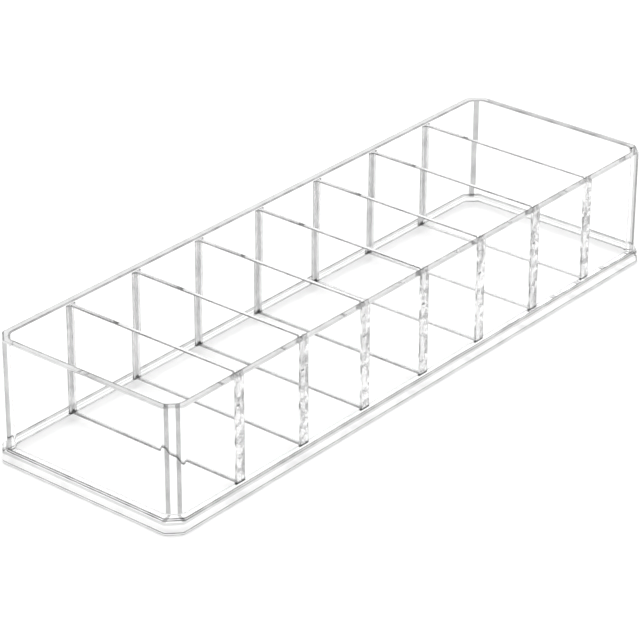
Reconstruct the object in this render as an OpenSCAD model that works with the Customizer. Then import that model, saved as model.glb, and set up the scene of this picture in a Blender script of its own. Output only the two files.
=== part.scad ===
// Vanity organizer: a clear open tray with cut corners on a base plate, with seven fixed dividers.
// Millimetres, +Z up. The origin is the centre of the base plate's underside.
// X runs along the tray, Y across it, and the side facing -Y is the front.

/* [Walls] */
// Outer length of the walls
wall_l = 300; // [220:5:420]
// Outer width of the walls
wall_w = 91.4; // [70:0.2:140]
// Height of the rim above the tray's floor
wall_h = 47.3; // [30:0.1:80]
// Thickness of the walls
wall_t = 3.2; // [2:0.1:5]
// Leg of the cut across each outer corner
corner_cut = 5.6; // [4:0.2:14]
// Outer radius of the two small bends at each cut corner
bend_r = 2.5; // [1:0.25:4]
// Radius of the same bends on the walls' inner side
inner_bend_r = 3.5; // [1:0.25:5]
// Radius of the eased rim edges
rim_r = 0.4; // [0.1:0.05:0.8]

/* [Base] */
// Thickness of the base plate
base_t = 5; // [3:0.1:8]
// How far the base plate stands out past the walls at the two ends
end_lip = 1.5; // [0.5:0.1:6]
// How far it stands out along the two long sides
side_lip = 0.8; // [0.5:0.1:6]
// How far its cut corners stand out past the walls' cut corners
corner_lip = 2; // [0.5:0.1:3.5]
// Radius of the base plate's eased edges
base_edge_r = 0.7; // [0.2:0.1:1.2]
// Depth of the seat grooves in the floor
seat_depth = 0.8; // [0.3:0.1:1.5]
// Side clearance of the walls and dividers in their grooves
seat_gap = 0.1; // [0.05:0.01:0.2]

/* [Dividers] */
// Thickness of a divider
divider_t = 2; // [1.2:0.1:4]
// How far a divider's top lies below the rim
divider_drop = 0.6; // [0:0.1:5]
// Radius of the flare at a divider's ends
foot_r = 1.4; // [0.6:0.1:3]
// Thickness of the flared foot's land on the wall
foot_land = 0.6; // [0.3:0.1:1.5]

/* [Hidden] */

// Counts of flat steps along the rounds
bend_steps = 6;
edge_steps = 4;
flare_steps = 8;
divider_count = 7;

// A bend of 45 degrees reaches this share of its radius along each side
bend_reach_share = tan(22.5);
// The cut's leg shrinks by this share of an inward offset
cut_shrink_share = 2 - sqrt(2);
// A cut moved outwards alone takes this share of the move off its leg
cut_move_share = sqrt(2);
// The two bends of a cut take up this share of its length at most
bend_fill_share = 0.9;

floor_z = base_t;
seat_z = floor_z - seat_depth;
rim_z = floor_z + wall_h;
cut_over = wall_t;
// The eased edge stays clear of the groove that takes the walls' foot
base_round = min(base_edge_r, end_lip - seat_gap, side_lip - seat_gap);
inner_l = wall_l - 2 * wall_t;
inner_w = wall_w - 2 * wall_t;
inner_cut = corner_cut - wall_t * cut_shrink_share;
foot_w = divider_t + 2 * foot_r;
slot_w = (inner_l - divider_count * divider_t) / (divider_count + 1);
divider_top = rim_z - divider_drop;
// The tightest bend that is still drawn
least_bend = rim_r;

clear_wall = [0.90, 0.93, 0.95, 0.55];
clear_base = [0.80, 0.86, 0.90, 0.65];
clear_divider = [0.70, 0.80, 0.88, 0.55];

// Middle of divider i along the tray, from 1 at the left
function divider_x(i) = -inner_l / 2 + i * slot_w + (i - 0.5) * divider_t;

// The eight corners of a rectangle with cut corners, anticlockwise from the front edge's left end
function cut_corners(l, w, c) = [
    [-l / 2 + c, -w / 2], [l / 2 - c, -w / 2], [l / 2, -w / 2 + c], [l / 2, w / 2 - c],
    [l / 2 - c, w / 2], [-l / 2 + c, w / 2], [-l / 2, w / 2 - c], [-l / 2, -w / 2 + c]];

// Directions of the eight sides, in turns of 45 degrees
function side_angle(i) = 45 * i;

// A rectangle with cut corners and stepped bends, of the wanted radius where the cut has room
function outline(l, w, leg, wanted) =
    let (cut = leg * cut_move_share,
         r = min(max(wanted, least_bend), cut * bend_fill_share / 2 / bend_reach_share),
         reach = r * bend_reach_share,
         pts = cut_corners(l, w, leg))
    [for (i = [0:len(pts) - 1], k = [0:bend_steps])
        let (a = side_angle(i - 1), turn = 45 * k / bend_steps,
             start = pts[i] - reach * [cos(a), sin(a)],
             centre = start + r * [-sin(a), cos(a)],
             q = a - 90 + turn)
        centre + r * [cos(q), sin(q)]];

// The walls' outer face in plan, moved outwards by off
function outer_plan(off) =
    outline(wall_l + 2 * off, wall_w + 2 * off, corner_cut + off * cut_shrink_share, bend_r + off);

// The walls' inner face in plan, moved outwards by off
function inner_plan(off) =
    outline(inner_l + 2 * off, inner_w + 2 * off, inner_cut + off * cut_shrink_share, inner_bend_r + off);

// The base plate's edge in plan, moved inwards by inset
function base_plan(inset) =
    outline(wall_l + 2 * (end_lip - inset), wall_w + 2 * (side_lip - inset),
            corner_cut + end_lip + side_lip - corner_lip * cut_move_share - inset * cut_shrink_share,
            bend_r - inset);

function lift(points, z) = [for (p = points) [p[0], p[1], z]];

// Side faces between two neighbouring rings of n points each
function band(a, b, n) = [for (i = [0:n - 1]) each let (j = (i + 1) % n)
    [[a * n + i, b * n + j, a * n + j], [a * n + i, b * n + i, b * n + j]]];

// A closed solid through a stack of rings, from the lowest up
module stack(rings) {
    n = len(rings[0]);
    m = len(rings);
    polyhedron(
        points = [for (r = rings) each r],
        faces = concat(
            [for (k = [0:m - 2]) each band(k, k + 1, n)],
            [[for (i = [0:n - 1]) i]],
            [[for (i = [n - 1:-1:0]) (m - 1) * n + i]]));
}

// A closed tube through rings that go up the outside and down the inside
module tube(rings) {
    n = len(rings[0]);
    m = len(rings);
    polyhedron(
        points = [for (r = rings) each r],
        faces = [for (k = [0:m - 1]) each band(k, (k + 1) % m, n)]);
}

// Base plate with eased edges, before its grooves are cut
module plate_blank() {
    lower = [for (k = [0:edge_steps]) let (q = 90 * k / edge_steps)
        lift(base_plan(base_round * (1 - sin(q))), base_round * (1 - cos(q)))];
    upper = [for (k = [0:edge_steps]) let (q = 90 * k / edge_steps)
        lift(base_plan(base_round * (1 - cos(q))), floor_z - base_round * (1 - sin(q)))];
    stack(concat(lower, upper));
}

// The ring groove that takes the walls' foot
module surround_groove() {
    translate([0, 0, seat_z])
        linear_extrude(seat_depth + cut_over)
            difference() {
                polygon(outer_plan(seat_gap));
                polygon(inner_plan(-seat_gap));
            }
}

// The cross groove that takes the lower edge of divider i
module divider_groove(i) {
    groove_w = divider_t + 2 * seat_gap;
    translate([divider_x(i) - groove_w / 2, -inner_w / 2 - seat_gap / 2, seat_z])
        cube([groove_w, inner_w + seat_gap, seat_depth + cut_over]);
}

module base_plate() {
    color(clear_base)
        difference() {
            plate_blank();
            surround_groove();
            for (i = [1:divider_count]) divider_groove(i);
        }
}

module wall_surround() {
    outside = [for (k = [0:edge_steps]) let (q = 90 * k / edge_steps)
        lift(outer_plan(-rim_r * (1 - cos(q))), rim_z - rim_r * (1 - sin(q)))];
    inside = [for (k = [0:edge_steps]) let (q = 90 * k / edge_steps)
        lift(inner_plan(rim_r * (1 - sin(q))), rim_z - rim_r * (1 - cos(q)))];
    color(clear_wall)
        tube(concat([lift(outer_plan(0), seat_z)], outside, inside, [lift(inner_plan(0), seat_z)]));
}

// Quarter flare from the web to the foot's land at one end, as points from the web outwards
function flare() = [for (k = [0:flare_steps]) let (q = 90 * k / flare_steps)
    [divider_t / 2 + foot_r * (1 - cos(q)), inner_w / 2 - foot_land - foot_r * (1 - sin(q))]];

// Plan of a divider with both flared ends, anticlockwise
function divider_plan() =
    let (right = flare(), n = len(right))
    concat(
        [for (p = right) p],
        [[foot_w / 2, inner_w / 2], [-foot_w / 2, inner_w / 2]],
        [for (k = [n - 1:-1:0]) [-right[k][0], right[k][1]]],
        [for (p = right) [-p[0], -p[1]]],
        [[-foot_w / 2, -inner_w / 2], [foot_w / 2, -inner_w / 2]],
        [for (k = [n - 1:-1:0]) [right[k][0], -right[k][1]]]);

// One divider: the flared panel on the floor, and the tongue of its web down in the groove
module divider(i) {
    color(clear_divider)
        translate([divider_x(i), 0, 0]) {
            translate([0, 0, floor_z])
                linear_extrude(divider_top - floor_z)
                    polygon(divider_plan());
            translate([-divider_t / 2, -inner_w / 2, seat_z])
                cube([divider_t, inner_w, divider_top - seat_z]);
        }
}

module divider_1() divider(1);
module divider_2() divider(2);
module divider_3() divider(3);
module divider_4() divider(4);
module divider_5() divider(5);
module divider_6() divider(6);
module divider_7() divider(7);

base_plate();
wall_surround();
divider_1();
divider_2();
divider_3();
divider_4();
divider_5();
divider_6();
divider_7();
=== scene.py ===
"""Clear vanity organizer: a long open tray on a base plate, split by seven dividers.

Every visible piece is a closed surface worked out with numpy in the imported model's frame, in
metres: X runs along the tray, Y across it and Z up, and the origin is the centre of the base
plate's underside.
"""
import math

import bpy
import numpy as np
from mathutils import Matrix


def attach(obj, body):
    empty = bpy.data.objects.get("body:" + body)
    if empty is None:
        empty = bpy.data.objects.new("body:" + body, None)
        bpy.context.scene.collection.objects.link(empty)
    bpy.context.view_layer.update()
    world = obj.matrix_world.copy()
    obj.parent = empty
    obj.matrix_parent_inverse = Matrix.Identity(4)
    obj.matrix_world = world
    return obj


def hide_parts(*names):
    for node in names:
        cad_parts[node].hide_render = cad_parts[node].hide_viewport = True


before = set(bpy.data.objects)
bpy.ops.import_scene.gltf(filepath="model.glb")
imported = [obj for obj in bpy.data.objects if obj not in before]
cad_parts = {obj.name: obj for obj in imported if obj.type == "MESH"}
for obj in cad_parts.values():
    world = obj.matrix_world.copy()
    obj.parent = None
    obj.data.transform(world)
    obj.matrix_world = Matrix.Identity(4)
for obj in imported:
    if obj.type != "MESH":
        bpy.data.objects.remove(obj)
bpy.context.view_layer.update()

MM = 0.001

# Walls: outer length and width, height above the floor, thickness
WALL_L, WALL_W, WALL_H, WALL_T = 300 * MM, 91.4 * MM, 47.3 * MM, 3.2 * MM
# Leg of the cut across each corner, and radii of the cut's two bends on the outer and inner face
CORNER_CUT, BEND_R, INNER_BEND_R = 5.6 * MM, 2.5 * MM, 3.5 * MM
# Radius of the eased rim edges, and width of the margin beside them on the rim's top, which carries
# painted shade
RIM_R, RIM_MARGIN = 0.4 * MM, 0.4 * MM

# Base plate: thickness, and how far it stands out past the walls at the ends, sides and cuts
BASE_T, END_LIP, SIDE_LIP, CORNER_LIP = 5 * MM, 1.5 * MM, 0.8 * MM, 2 * MM
# Radii of its upper and lower edges, and heights between which a fine line of painted shade runs
# round it
BASE_EDGE_R, BASE_FOOT_R = 0.7 * MM, 0.35 * MM
LINE_FROM, LINE_TO = 0.85 * MM, 1.25 * MM

# Dividers: thickness, depth of their tops below the rim, radius of the tops' eased edges
DIVIDER_COUNT = 7
DIVIDER_T, DIVIDER_DROP, DIVIDER_EDGE_R = 2 * MM, 0.6 * MM, 0.4 * MM
# Radius of the flare at a divider's ends, and thickness of the flare's land on the wall
FOOT_R, FOOT_LAND = 1.4 * MM, 0.6 * MM

# Bonded faces run this far into each other, so that light passes them as it passes a solvent bond
BOND_LAP = 0.03 * MM
# Widths of the fillets that the bond leaves along the walls' foot, outside at the ends and the long
# sides and inside, and along the dividers' feet. The outer ones are taller than they are wide
END_BEAD_R, SIDE_BEAD_R, INNER_BEAD_R, DIVIDER_BEAD_R = 0.9 * MM, 0.5 * MM, 1.3 * MM, 0.5 * MM
OUTER_BEAD_H = 1.3 * MM
# Films of bond between the dividers' lands and the walls: thickness, how far they stay inside the
# lands' edges, and the patches that their broad faces are divided into
FILM_T, FILM_INSET, FILM_PATCHES = 0.16 * MM, 0.15 * MM, (6, 40)

FLOOR_Z = BASE_T
RIM_Z = FLOOR_Z + WALL_H
INNER_L, INNER_W = WALL_L - 2 * WALL_T, WALL_W - 2 * WALL_T
SLOT_W = (INNER_L - DIVIDER_COUNT * DIVIDER_T) / (DIVIDER_COUNT + 1)
DIVIDER_TOP = RIM_Z - DIVIDER_DROP

# Every plan has eight corners, which turn by 45 degrees each. Two of them bound each cut
CORNERS, CORNER_TURN = 8, 45
NEAR, RIGHT, FAR, LEFT = (7, 0), (1, 2), (3, 4), (5, 6)
# A cut's leg shrinks by this share of an inset
CUT_SHRINK = 2 - math.sqrt(2)
# Flat steps along a bend, along an eased edge or a fillet, and along a flare
BEND_STEPS, EDGE_STEPS, FLARE_STEPS = 14, 7, 12
# How many steps of the near bends, counted from the cut, carry painted shade, and how many
# steps later they start on the bend towards the tray's end
SHADED_BEND_STEPS, END_SHIFT = 9, 1
# Widths of the strips on the flats beside each bend. Two of them carry painted shade, the grey
# bands at the right and the left corner
BEND_MARGINS = np.full(CORNERS, 1.1 * MM)
BEND_MARGINS[RIGHT[0]] = 2.6 * MM
BEND_MARGINS[LEFT[1]] = 1.5 * MM

# Zones of a piece's skin. Each has the grey that it lays on what is seen through it, from 0 for
# black to 1 for clear, and how far that grey is broken into patches
CLEAR = (1, 0)
# Painted shade on the walls' rims: the eased edges, the margins and the middle of the rim's top
RIM_OUTER, RIM_OUTER_TOP, RIM_INNER_TOP, RIM_INNER = (0.45, 0), (0.25, 0), (0.04, 0), (0.12, 0)
RIM_MIDDLE, RIM_FAR_MIDDLE = (0.45, 0), (0.18, 0)
# Painted shade along the dividers' eased tops
TOP_EDGE = (0.05, 0)
# Painted shade lines on the walls' foot fillets, inside and outside
FOOT_INNER, FOOT_OUTER = (0.6, 0), (0.02, 0)
# Painted shade on the base plate's lower edge, its fine line and its upper edge
BASE_UNDER, BASE_LINE, BASE_UPPER = (0.01, 0), (0.01, 0), (0.5, 0)
# Painted shade on the bends and on the inner face at the far cut
BEND_INNER, BEND_OUTER, CUT_INNER = (0.2, 0), (0.2, 0), (0.2, 0)
# Painted shade bands beside the right and the left corner's bends
RIGHT_SIDE, LEFT_SIDE = (0.38, 0), (0.26, 0)
FRONT_FLARE, BACK_FLARE = (0.2, 1), (0.45, 0.35)
# Greys of painted shade on the fillets along the seven dividers' feet, which show less and less to
# the far end
BEAD_GREYS = (0.12, 0.15, 0.15, 0.15, 0.35, 0.45, 0.45)

# How strongly the plastic bends light. In the photo the walls and the base hardly shift what
# stands behind them
DIVIDER_IOR, WALL_IOR, BASE_IOR = 1.49, 1.1, 1.08
# Grey of the absorption in the plastic's body. At density 1 only paths of decimetres show it
BODY_GREY = 0.64
# How a zone's grey is laid where it is whole and where it is broken: noise from low to high takes
# the grey from its least share to all of it
WHOLE = dict(scale=(160, 160, 160), detail=1, low=0.3, high=0.7, least=0.85)
BROKEN = dict(scale=(300, 300, 250), detail=2, low=0.45, high=0.6, least=0.05)
# Detail and roughness of the noise that makes the voids in a bond
VOID_DETAIL, VOID_ROUGHNESS = 2, 0.55

# Edges between faces that meet at more than this many degrees stay sharp
SOFT_ANGLE = 40
# Weight that large faces get over small ones in the normals where they meet. 100 is the most
NORMAL_WEIGHT = 100


def quarter(steps):
    """Angles from 0 to 90 degrees in even steps."""
    return np.linspace(0, math.pi / 2, steps + 1)


# Shares of the radius along an eased edge or a fillet: one falls from 1 to 0, one rises from 0 to 1
ROUND_FALL = 1 - np.sin(quarter(EDGE_STEPS))
ROUND_RISE = 1 - np.cos(quarter(EDGE_STEPS))


def cut_outline(half_l, half_w, leg, radius):
    """Plan of a rectangle with cut corners, anticlockwise, one row for each value of the arrays.

    Each of the eight corners is an arc that touches both of its sides: it starts
    radius * tan(22.5 degrees) before the corner, and its centre lies one radius to the left of
    there. One more point stands a margin before each arc and one as far after it.
    """
    half_l, half_w, leg, radius = np.broadcast_arrays(
        *[np.atleast_1d(v) for v in (half_l, half_w, leg, radius)])
    x0, x1 = half_l - leg, half_l
    y0, y1 = half_w, half_w - leg
    corners = np.stack([np.stack(xy, -1) for xy in (
        (-x0, -y0), (x0, -y0), (x1, -y1), (x1, y1), (x0, y0), (-x0, y0), (-x1, y1), (-x1, -y1))], 1)
    heading = np.radians(CORNER_TURN * (np.arange(CORNERS) - 1))
    along = np.stack([np.cos(heading), np.sin(heading)], -1)
    left = np.stack([-np.sin(heading), np.cos(heading)], -1)
    turn = math.radians(CORNER_TURN)
    r = radius[:, None, None]
    centre = corners - r * math.tan(turn / 2) * along + r * left
    q = heading[:, None] - math.pi / 2 + np.linspace(0, turn, BEND_STEPS + 1)
    arc = np.stack([np.cos(q), np.sin(q)], -1)
    bend = centre[:, :, None] + r[..., None] * arc
    margin = BEND_MARGINS[:, None, None]
    before = bend[:, :, :1] - margin * along[:, None]
    after = bend[:, :, -1:] + margin * np.roll(along, -1, axis=0)[:, None]
    return np.concatenate([before, bend, after], 2).reshape(len(half_l), -1, 2)


def outer_plan(end_inset, side_inset):
    """The walls' outer face moved inwards, at the ends and along the sides by an inset each.

    The cut moves with the mean of the two.
    """
    inset = (end_inset + side_inset) / 2
    return cut_outline(WALL_L / 2 - end_inset, WALL_W / 2 - side_inset,
                       CORNER_CUT - inset * CUT_SHRINK, BEND_R - inset)


def inner_plan(outset):
    """The walls' inner face moved outwards by outset, with its own wider bends."""
    return cut_outline(INNER_L / 2 + outset, INNER_W / 2 + outset,
                       CORNER_CUT - (WALL_T - outset) * CUT_SHRINK, INNER_BEND_R + outset)


def base_plan(inset):
    """The base plate's edge moved inwards by inset. Its cut stands CORNER_LIP past the walls'."""
    leg = CORNER_CUT + END_LIP + SIDE_LIP - CORNER_LIP * math.sqrt(2)
    return cut_outline(WALL_L / 2 + END_LIP - inset, WALL_W / 2 + SIDE_LIP - inset,
                       leg - inset * CUT_SHRINK, BEND_R - inset)


def divider_plan(inset):
    """Half plan of a divider at x > 0, from front wall to back wall, moved inwards by inset.

    The web's face is a straight line. At each end it flares out by a quarter circle to the foot's
    land, and the land runs straight to the wall. The quarter circle is hollow, so its radius grows
    with inset.
    """
    inset = inset[:, None]
    q = quarter(FLARE_STEPS)[None]
    r = FOOT_R + inset
    x = DIVIDER_T / 2 + FOOT_R - r * np.cos(q)
    y = INNER_W / 2 - FOOT_LAND - FOOT_R + r * np.sin(q)
    end_x = DIVIDER_T / 2 + FOOT_R - inset
    end_y = np.full_like(end_x, INNER_W / 2 + BOND_LAP)
    back = np.concatenate([np.stack([x, y], -1), np.stack([end_x, end_y], -1)], 1)
    front = back[:, ::-1] * np.array([1, -1])
    return np.concatenate([front, back], 1)


def face_insets(bead, top):
    """Insets up an upright face: its foot, a fillet that stands out by bead, and the top's."""
    return np.concatenate([[-bead], -bead * ROUND_FALL, top])


def face_heights(bead, top):
    """Heights up an upright face: its foot in the floor, a fillet of height bead, the top's."""
    return np.concatenate([[FLOOR_Z - BOND_LAP], FLOOR_Z + bead * ROUND_RISE, top])


def lifted(plan, heights):
    """Rows of plan points, each row at its own height."""
    z = np.broadcast_to(heights[:, None, None], plan.shape[:2] + (1,))
    return np.concatenate([plan, z], -1)


def mesh_object(name, points, faces, zones=None):
    """A mesh object at the origin, with smooth rounds and true flats.

    zones holds one of the skin's zones for each face, and goes into the mesh as two attributes for
    the finish.
    """
    mesh = bpy.data.meshes.new(name)
    mesh.from_pydata(points.reshape(-1, 3).tolist(), [], faces)
    mesh.polygons.foreach_set("use_smooth", np.ones(len(mesh.polygons), bool))
    if zones is not None:
        parts = np.asarray(zones, np.float32).reshape(-1, 2).T
        for word, values in zip(("grey", "broken"), parts):
            skin = mesh.attributes.new(word, "FLOAT", "FACE")
            skin.data.foreach_set("value", values.copy())
    mesh.update()
    mesh.set_sharp_from_angle(angle=math.radians(SOFT_ANGLE))
    piece = bpy.data.objects.new(name, mesh)
    bpy.context.scene.collection.objects.link(piece)
    flats = piece.modifiers.new("flats stay flat", "WEIGHTED_NORMAL")
    flats.keep_sharp = True
    flats.weight = NORMAL_WEIGHT
    return piece


def band_faces(rows, columns, closed):
    """Quads between neighbouring rows of a grid whose columns run round.

    closed joins the last row to the first.
    """
    a = np.arange(rows if closed else rows - 1)[:, None]
    b = (a + 1) % rows
    i = np.arange(columns)[None]
    j = (i + 1) % columns
    quads = np.broadcast_arrays(a * columns + i, a * columns + j, b * columns + j, b * columns + i)
    return np.stack(quads, -1).reshape(-1, 4)


def zone_grid(row_zones, columns):
    """Zones for the faces of a grid, the same along each row, as rows by columns by parts."""
    return np.repeat(np.array(row_zones, float)[:, None], columns, axis=1)


def new_material(name):
    """An empty node material, with helpers that add a node with its values and link two sockets."""
    material = bpy.data.materials.new(name)
    material.use_nodes = True
    tree = material.node_tree
    tree.nodes.clear()

    def add(kind, **values):
        node = tree.nodes.new(kind)
        for key, value in values.items():
            if key in node.inputs:
                node.inputs[key].default_value = value
            else:
                setattr(node, key, value)
        return node

    return material, add, tree.links.new


def patches(add, link, scale, detail, low, high, least=0.0, most=1.0, roughness=0.5):
    """Noise in the piece's own place: least where it is below low, most where it is above high."""
    place = add("ShaderNodeTexCoord")
    squeeze = add("ShaderNodeMapping", Scale=scale)
    noise = add("ShaderNodeTexNoise", Scale=1.0, Detail=detail, Roughness=roughness)
    span = add("ShaderNodeMapRange")
    ends = {"From Min": low, "From Max": high, "To Min": least, "To Max": most}
    for socket, value in ends.items():
        span.inputs[socket].default_value = value
    link(place.outputs["Object"], squeeze.inputs["Vector"])
    link(squeeze.outputs["Vector"], noise.inputs["Vector"])
    link(noise.outputs["Fac"], span.inputs["Value"])
    return span.outputs["Result"]


def clear_plastic(name, density, ior):
    """Clear acrylic: polished skin with zones of painted shade, and a body that greys only along
    long paths.

    The zones come from the mesh. Edges, bends and bond fillets carry painted shade that makes them
    greyer than the flats, and the bonded flares carry the bond's mottle.
    """
    material, add, link = new_material(name)
    grey = add("ShaderNodeAttribute", attribute_name="grey")
    broken = add("ShaderNodeAttribute", attribute_name="broken")
    laid = add("ShaderNodeMix", data_type="FLOAT")
    link(broken.outputs["Fac"], laid.inputs["Factor"])
    link(patches(add, link, **WHOLE), laid.inputs["A"])
    link(patches(add, link, **BROKEN), laid.inputs["B"])
    colour = add("ShaderNodeMix", data_type="RGBA")
    colour.inputs["A"].default_value = (1, 1, 1, 1)
    link(laid.outputs["Result"], colour.inputs["Factor"])
    link(grey.outputs["Fac"], colour.inputs["B"])
    skin = add("ShaderNodeBsdfPrincipled", IOR=ior, Roughness=0.0)
    skin.inputs["Transmission Weight"].default_value = 1.0
    link(colour.outputs["Result"], skin.inputs["Base Color"])
    body = add("ShaderNodeVolumeAbsorption", Color=(BODY_GREY,) * 3 + (1,), Density=density)
    out = add("ShaderNodeOutputMaterial")
    link(skin.outputs["BSDF"], out.inputs["Surface"])
    link(body.outputs["Volume"], out.inputs["Volume"])
    return material


def bond_film(name, grey, fill, scale, low, high):
    """Solvent bond: clear where it wetted the plastic, with a scatter of small grey voids.

    fill says how far the voids hide what is behind them.
    """
    material, add, link = new_material(name)
    clear = add("ShaderNodeBsdfTransparent")
    dull = add("ShaderNodeBsdfDiffuse", Color=(grey, grey, grey, 1))
    mix = add("ShaderNodeMixShader")
    voids = patches(add, link, scale, VOID_DETAIL, low, high, most=fill, roughness=VOID_ROUGHNESS)
    link(voids, mix.inputs["Fac"])
    link(clear.outputs["BSDF"], mix.inputs[1])
    link(dull.outputs["BSDF"], mix.inputs[2])
    out = add("ShaderNodeOutputMaterial")
    link(mix.outputs["Shader"], out.inputs["Surface"])
    return material


BASE_CLEAR = clear_plastic("base_clear", density=0.0, ior=BASE_IOR)
WALL_CLEAR = clear_plastic("wall_clear", density=1.0, ior=WALL_IOR)
DIVIDER_CLEAR = clear_plastic("divider_clear", density=1.0, ior=DIVIDER_IOR)
FRONT_SEAM = bond_film("front_bond", grey=0.45, fill=0.45, scale=(260, 260, 340),
                       low=0.47, high=0.6)
BACK_SEAM = bond_film("back_bond", grey=0.45, fill=0.2, scale=(260, 260, 120),
                      low=0.3, high=0.5)


def finish_piece(piece, node, material):
    """Gives a piece its finish, lets it ride on the tray and stand for its node, if it has one."""
    piece.data.materials.append(material)
    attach(piece, "root")
    if node:
        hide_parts(node)


# Base plate, from the underside up: eased edge, side face with its fine line, eased edge, all three
# with painted shade
base_in = np.concatenate([BASE_FOOT_R * ROUND_FALL, [0, 0], BASE_EDGE_R * ROUND_FALL[::-1]])
base_z = np.concatenate([BASE_FOOT_R * ROUND_RISE, [LINE_FROM, LINE_TO],
                         FLOOR_Z - BASE_EDGE_R * ROUND_RISE[::-1]])
base_rows = lifted(base_plan(base_in), base_z)
columns = base_rows.shape[1]
ring = np.arange(columns)
base_faces = band_faces(len(base_rows), columns, False).tolist()
base_faces += [ring[::-1].tolist(), (ring + (len(base_rows) - 1) * columns).tolist()]
base_zones = zone_grid([BASE_UNDER] * EDGE_STEPS + [CLEAR, BASE_LINE, CLEAR]
                       + [BASE_UPPER] * EDGE_STEPS, columns).reshape(-1, 2)
base = mesh_object("base_clear_plate", base_rows, base_faces,
                   np.concatenate([base_zones, [CLEAR, CLEAR]]))
finish_piece(base, "base_plate", BASE_CLEAR)

# Walls, from the outer foot up: fillet, outer face, eased rim. Then the same down the inner face
rim_in = np.append(RIM_R * ROUND_RISE, RIM_R + RIM_MARGIN)
rim_z = np.append(RIM_Z - RIM_R * ROUND_FALL, RIM_Z)
outside = lifted(outer_plan(face_insets(END_BEAD_R, rim_in), face_insets(SIDE_BEAD_R, rim_in)),
                 face_heights(OUTER_BEAD_H, rim_z))
inside = lifted(inner_plan(face_insets(INNER_BEAD_R, rim_in)[::-1]),
                face_heights(INNER_BEAD_R, rim_z)[::-1])
wall_rows = np.concatenate([outside, inside])
columns = wall_rows.shape[1]
# The fillets' strips: two lines of painted shade on the outer one, and one at the top of the inner
# one
foot_out = [CLEAR] * 2 + [FOOT_OUTER] * 2 + [CLEAR] + [FOOT_OUTER] * 2
foot_in = [FOOT_INNER] * 2 + [CLEAR] * (EDGE_STEPS - 2)
up_outside = [CLEAR] + foot_out + [CLEAR] + [RIM_OUTER] * EDGE_STEPS + [RIM_OUTER_TOP]
down_inside = [RIM_INNER_TOP] + [RIM_INNER] * EDGE_STEPS + [CLEAR] + foot_in + [CLEAR]
wall_zones = zone_grid(up_outside + [RIM_MIDDLE] + down_inside + [CLEAR], columns)
# Rows of faces that carry painted shade in parts
outer_face, rim_middle, underside = 1 + EDGE_STEPS, len(up_outside), -1
inner_face = 2 * rim_middle - outer_face
# Each corner's columns of faces: strip before the bend, the bend's steps, strip after it, flat
corner, column = np.divmod(np.arange(columns), BEND_STEPS + 3)
step = column - 1
before_bend, after_bend, on_flat = column == 0, step == BEND_STEPS, step == BEND_STEPS + 1
on_bend = (step >= 0) & (step < BEND_STEPS)
from_cut = np.where(corner % 2 == 0, step, BEND_STEPS - 1 - step)
from_cut = np.where(corner == NEAR[0], from_cut - END_SHIFT, from_cut)
shade_painted = (from_cut >= 0) & (from_cut < SHADED_BEND_STEPS)
near_bends = on_bend & shade_painted & np.isin(corner, NEAR)
far_cut = (after_bend | on_flat) & (corner == FAR[0]) | before_bend & (corner == FAR[1])
# Painted shade on the near bends, the far cut, the far rim, the side bends and the corner bands
wall_zones[inner_face, near_bends] = BEND_INNER
wall_zones[underside, near_bends] = BEND_INNER
wall_zones[inner_face, far_cut] = CUT_INNER
wall_zones[rim_middle, on_flat & (corner == RIGHT[1])] = RIM_FAR_MIDDLE
wall_zones[outer_face, on_bend & np.isin(corner, RIGHT + LEFT)] = BEND_OUTER
wall_zones[outer_face, before_bend & (corner == RIGHT[0])] = RIGHT_SIDE
wall_zones[outer_face, after_bend & (corner == LEFT[1])] = LEFT_SIDE
walls = mesh_object("walls_clear", wall_rows, band_faces(len(wall_rows), columns, True).tolist(),
                    wall_zones)
finish_piece(walls, "wall_surround", WALL_CLEAR)

# Dividers, from the floor up: bond fillet, side faces with their flares, eased top
top_in, top_z = DIVIDER_EDGE_R * ROUND_RISE, DIVIDER_TOP - DIVIDER_EDGE_R * ROUND_FALL
right_side = divider_plan(face_insets(DIVIDER_BEAD_R, top_in))
left_side = (right_side * np.array([-1, 1]))[:, ::-1]
divider_rows = lifted(np.concatenate([right_side, left_side], 1),
                      face_heights(DIVIDER_BEAD_R, top_z))
half = right_side.shape[1]
# Painted shade on the eased top's faces
side_zones = zone_grid([CLEAR] * (EDGE_STEPS + 2) + [TOP_EDGE] * EDGE_STEPS, 2 * half)
# The right side's columns run from front to back and the left side's from back to front. The
# middle one of each is the web, and the last one of each lies on a wall
on_left, from_start = np.divmod(np.arange(2 * half), half)
web = half // 2 - 1
first_flare, last_flare = from_start < web, (from_start > web) & (from_start < half - 1)
side_zones[outer_face, np.where(on_left, last_flare, first_flare)] = FRONT_FLARE
side_zones[outer_face, np.where(on_left, first_flare, last_flare)] = BACK_FLARE


def divider(index):
    """One divider: its outline carried up the profile, capped by strips between its two sides.

    Gives the place of its middle along the tray.
    """
    middle = -INNER_L / 2 + index * SLOT_W + (index - 0.5) * DIVIDER_T
    rows = divider_rows + np.array([middle, 0, 0])
    strip = np.arange(half - 1)
    cap = np.stack([strip, strip + 1, 2 * half - 2 - strip, 2 * half - 1 - strip], -1)
    faces = np.concatenate([band_faces(len(rows), 2 * half, False), cap[:, ::-1],
                            cap + (len(rows) - 1) * 2 * half])
    zones = side_zones.copy()
    # Painted shade on the foot fillet, its grey set by the divider's place along the tray
    zones[1:EDGE_STEPS + 1, :, 0] = BEAD_GREYS[index - 1]
    zones = np.concatenate([zones.reshape(-1, 2), np.tile(CLEAR, (2 * len(cap), 1))])
    piece = mesh_object(f"divider_clear_{index}", rows, faces.tolist(), zones)
    finish_piece(piece, f"divider_{index}", DIVIDER_CLEAR)
    return middle


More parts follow.
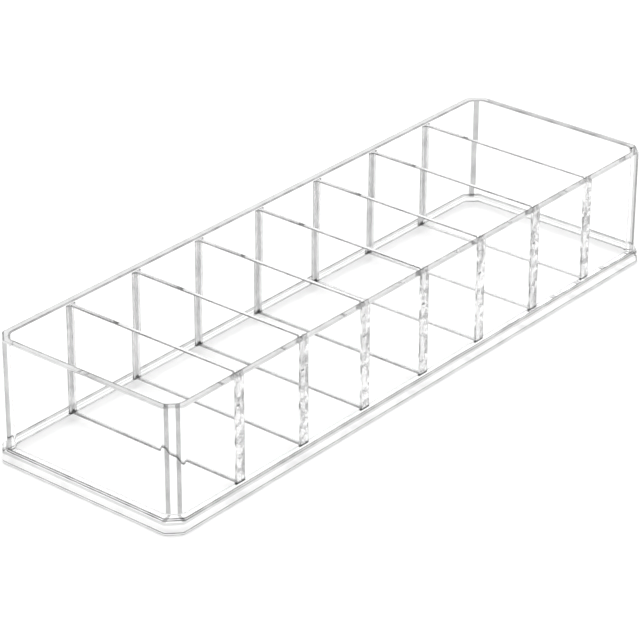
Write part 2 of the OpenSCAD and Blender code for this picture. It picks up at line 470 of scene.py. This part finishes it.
def thin_box(name, low, high, across, up):
    """A thin closed slab between two corners, its broad faces divided into across by up patches."""
    u, v = np.meshgrid(np.linspace(0, 1, across + 1), np.linspace(0, 1, up + 1))
    low, high = np.array(low), np.array(high)
    size = high - low
    thin = int(np.argmin(size))
    a, b = [k for k in range(3) if k != thin]
    front_points = np.zeros(u.shape + (3,))
    front_points[..., a], front_points[..., b] = u * size[a], v * size[b]
    rear_points = front_points.copy()
    rear_points[..., thin] = size[thin]
    points = np.stack([front_points, rear_points]) + low
    rows, columns = up + 1, across + 1
    to_rear = rows * columns
    cell = (np.arange(up)[:, None] * columns + np.arange(across)[None]).reshape(-1)
    front = np.stack([cell, cell + 1, cell + columns + 1, cell + columns], -1)
    rear = front[:, ::-1] + to_rear
    rim = np.concatenate([np.arange(columns), np.arange(1, rows) * columns + across,
                          up * columns + np.arange(across)[::-1],
                          np.arange(1, up)[::-1] * columns])
    following = np.roll(rim, -1)
    edge = np.stack([following, rim, rim + to_rear, following + to_rear], -1)
    faces = np.concatenate([front, rear, edge])
    # X and Z run anticlockwise as seen from the front. The other pairs of axes do so from behind
    if thin != 1:
        faces = faces[:, ::-1]
    return mesh_object(name, points, faces.tolist())


middles = [divider(k) for k in range(1, DIVIDER_COUNT + 1)]
film_half = DIVIDER_T / 2 + FOOT_R - FILM_INSET
for number, middle in enumerate(middles, 1):
    for side, word, seam in ((-1, "front", FRONT_SEAM), (1, "back", BACK_SEAM)):
        y = side * INNER_W / 2
        film = thin_box(f"bond_{word}_{number}",
                        (middle - film_half, y - FILM_T / 2, FLOOR_Z + INNER_BEAD_R),
                        (middle + film_half, y + FILM_T / 2, DIVIDER_TOP - DIVIDER_EDGE_R),
                        *FILM_PATCHES)
        finish_piece(film, None, seam)

# Studio floor: half its width, its underside and top just below the tray, and its painted greys
STAGE_HALF, STAGE_LOW, STAGE_TOP = 4, -0.012, -0.0002
PAINT_GREYS, PAINT_ROUGHNESS, PAINT_SCALE = (0.93, 0.96), 0.8, 6.0
floor = thin_box("studio_floor", (-STAGE_HALF, -STAGE_HALF, STAGE_LOW),
                 (STAGE_HALF, STAGE_HALF, STAGE_TOP), 2, 2)
material, add, link = new_material("studio_floor_paint")
paint = add("ShaderNodeBsdfPrincipled", Roughness=PAINT_ROUGHNESS)
grain = add("ShaderNodeTexNoise", Scale=PAINT_SCALE)
tone = add("ShaderNodeMix", data_type="RGBA")
for socket, grey in zip("AB", PAINT_GREYS):
    tone.inputs[socket].default_value = (grey, grey, grey, 1)
where = add("ShaderNodeTexCoord")
link(where.outputs["Object"], grain.inputs["Vector"])
link(grain.outputs["Fac"], tone.inputs["Factor"])
link(tone.outputs["Result"], paint.inputs["Base Color"])
floor_out = add("ShaderNodeOutputMaterial")
link(paint.outputs["BSDF"], floor_out.inputs["Surface"])
floor.data.materials.append(material)

# The room: white walls and ceiling, with a greyer band between them whose reflection draws the
# edges. The band's heights are sines of the angle above the horizon
WHITE, BAND_GREY = 1.7, 0.2
BAND_FROM, BAND_TO, BAND_FADE = 0.56, 0.76, 0.04
world = bpy.data.worlds.new("soft_white_room")
bpy.context.scene.world = world
world.use_nodes = True
room = world.node_tree.nodes["Background"]
room.inputs["Strength"].default_value = WHITE
direction = world.node_tree.nodes.new("ShaderNodeTexCoord")
split = world.node_tree.nodes.new("ShaderNodeSeparateXYZ")
shades = world.node_tree.nodes.new("ShaderNodeValToRGB")
world.node_tree.links.new(direction.outputs["Generated"], split.inputs["Vector"])
world.node_tree.links.new(split.outputs["Z"], shades.inputs["Fac"])
world.node_tree.links.new(shades.outputs["Color"], room.inputs["Color"])
stops = [(0, 1), (BAND_FROM - BAND_FADE, 1), (BAND_FROM, BAND_GREY), (BAND_TO, BAND_GREY),
         (BAND_TO + BAND_FADE, 1)]
ramp = shades.color_ramp.elements
# A new stop can stand anywhere, as each gets its own height next
while len(ramp) < len(stops):
    ramp.new(0.5)
for element, (height, grey) in zip(ramp, stops):
    element.position = height
    element.color = (grey, grey, grey, 1)

# The camera, as the tray's lines in the photo place it. The picture's width, the focal length and
# the point that the lens looks at are in pixels, its sensor in millimetres and its reach in metres
FRAME_PX, FOCAL_PX, CENTRE_PX = 640, 2987.85, (295.674, 312.212)
SENSOR, REACH = 36, 50
AZIMUTH, ELEVATION, ROLL = (math.radians(v) for v in (-50.016, 27.258, -0.046))
# The near rim corner, before its cut, as the camera sees it: right, down and away from the lens
CORNER_SEEN = np.array([-43.715, 35.887, 1063.983]) * MM
CORNER_AT = np.array([-WALL_L / 2, -WALL_W / 2, RIM_Z])

back = np.array([math.sin(AZIMUTH) * math.cos(ELEVATION),
                 -math.cos(AZIMUTH) * math.cos(ELEVATION), math.sin(ELEVATION)])
right = np.cross(-back, (0, 0, 1))
right /= np.linalg.norm(right)
up = np.cross(right, -back)
right, up = (right * math.cos(ROLL) + up * math.sin(ROLL),
             up * math.cos(ROLL) - right * math.sin(ROLL))
seen_axes = np.array([right, -up, -back])
place = np.eye(4)
place[:3, 0], place[:3, 1], place[:3, 2] = right, up, back
place[:3, 3] = CORNER_AT - seen_axes.T @ CORNER_SEEN
lens = bpy.data.cameras.new("camera")
camera = bpy.data.objects.new("camera", lens)
bpy.context.scene.collection.objects.link(camera)
camera.matrix_world = Matrix(place.tolist())
lens.sensor_width = SENSOR
lens.lens = SENSOR * FOCAL_PX / FRAME_PX
lens.shift_x = (FRAME_PX / 2 - CENTRE_PX[0]) / FRAME_PX
lens.shift_y = (CENTRE_PX[1] - FRAME_PX / 2) / FRAME_PX
lens.clip_end = REACH
bpy.context.scene.camera = camera

# Light takes many turns inside clear plastic, and white stays white
PLASTIC_BOUNCES, FILM_BOUNCES = 300, 32
scene = bpy.context.scene
scene.view_settings.view_transform = "Standard"
scene.cycles.max_bounces = PLASTIC_BOUNCES
scene.cycles.transmission_bounces = PLASTIC_BOUNCES
scene.cycles.glossy_bounces = PLASTIC_BOUNCES
scene.cycles.transparent_max_bounces = FILM_BOUNCES
scene.cycles.blur_glossy = 0
